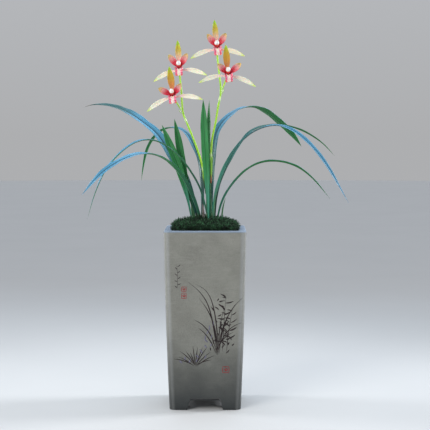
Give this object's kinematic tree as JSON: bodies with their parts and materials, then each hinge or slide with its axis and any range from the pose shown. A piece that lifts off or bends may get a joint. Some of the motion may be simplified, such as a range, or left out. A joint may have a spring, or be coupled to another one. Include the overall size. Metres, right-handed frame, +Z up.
{
  "type": "potted orchid",
  "caption": "Potted orchid with long arching strap leaves and upright stems of slender cream and rose flowers, in a tall, tapering square stoneware pot on corner feet.",
  "frame": {"origin": "on the ground plane the feet rest on, on the pot's axis, which is also under the middle of the plant's spread", "axes": "+Z up along the pot's axis, -Y towards the flowers' fronts, +X to the viewer's right"},
  "size_m": [0.3956, 0.2982, 0.5679],
  "materials": {
    "stoneware": "unglazed fine-grained stoneware, dry matt, grey-beige",
    "drain_screen": "matt black mesh",
    "pumice": "loose porous grit",
    "potting_mix": "coarse bark and loam, damp",
    "moss": "living cushion moss, soft and matt",
    "pseudobulb": "smooth, with dry fibrous sheaths",
    "leaf": "satin leaf, ribbed lengthwise, bluer on its upper side",
    "sheath": "thin papery sheath, green to red-brown",
    "stem": "smooth, satin, yellow-green",
    "sepal": "satin, cream with a pink flush and green tip",
    "petal": "satin, rose-red with darker veins",
    "lip": "satin, pale with crimson spots and edge",
    "column": "waxy, with a white cap"
  },
  "bodies": {
    "root": {"pot": "stoneware", "drain_screen": "drain_screen", "drainage_pumice": "pumice", "potting_mix": "potting_mix", "moss": "moss", "pseudobulbs": "pseudobulb", "leaf_upper_left": "leaf", "leaf_low_left_thin": "leaf", "leaf_low_left_wide": "leaf", "leaf_back_left_arch": "leaf", "leaf_upper_right": "leaf", "leaf_right_long_low": "leaf", "leaf_right_long_high": "leaf", "leaf_right_low": "leaf", "leaf_left_short": "leaf", "leaf_left_upright": "leaf", "leaf_centre_tall": "leaf", "leaf_centre_second": "leaf", "sheath_leaf_left": "sheath", "sheath_leaf_right": "sheath", "sheath_leaf_far_right": "sheath", "stem_sheath_left": "sheath", "stem_sheath_right": "sheath", "scape_left": "stem", "scape_right": "stem", "pedicel_lower_left": "stem", "pedicel_lower_right": "stem", "bract_left": "stem", "bract_right": "stem", "flower_lower_left_dorsal_sepal": "sepal", "flower_lower_left_left_sepal": "sepal", "flower_lower_left_right_sepal": "sepal", "flower_lower_left_left_petal": "petal", "flower_lower_left_right_petal": "petal", "flower_lower_left_lip": "lip", "flower_lower_left_column": "column", "flower_upper_left_dorsal_sepal": "sepal", "flower_upper_left_left_sepal": "sepal", "flower_upper_left_right_sepal": "sepal", "flower_upper_left_left_petal": "petal", "flower_upper_left_right_petal": "petal", "flower_upper_left_lip": "lip", "flower_upper_left_column": "column", "flower_upper_right_dorsal_sepal": "sepal", "flower_upper_right_left_sepal": "sepal", "flower_upper_right_right_sepal": "sepal", "flower_upper_right_left_petal": "petal", "flower_upper_right_right_petal": "petal", "flower_upper_right_lip": "lip", "flower_upper_right_column": "column", "flower_lower_right_dorsal_sepal": "sepal", "flower_lower_right_left_sepal": "sepal", "flower_lower_right_right_sepal": "sepal", "flower_lower_right_left_petal": "petal", "flower_lower_right_right_petal": "petal", "flower_lower_right_lip": "lip", "flower_lower_right_column": "column"}
  },
  "joints": []
}
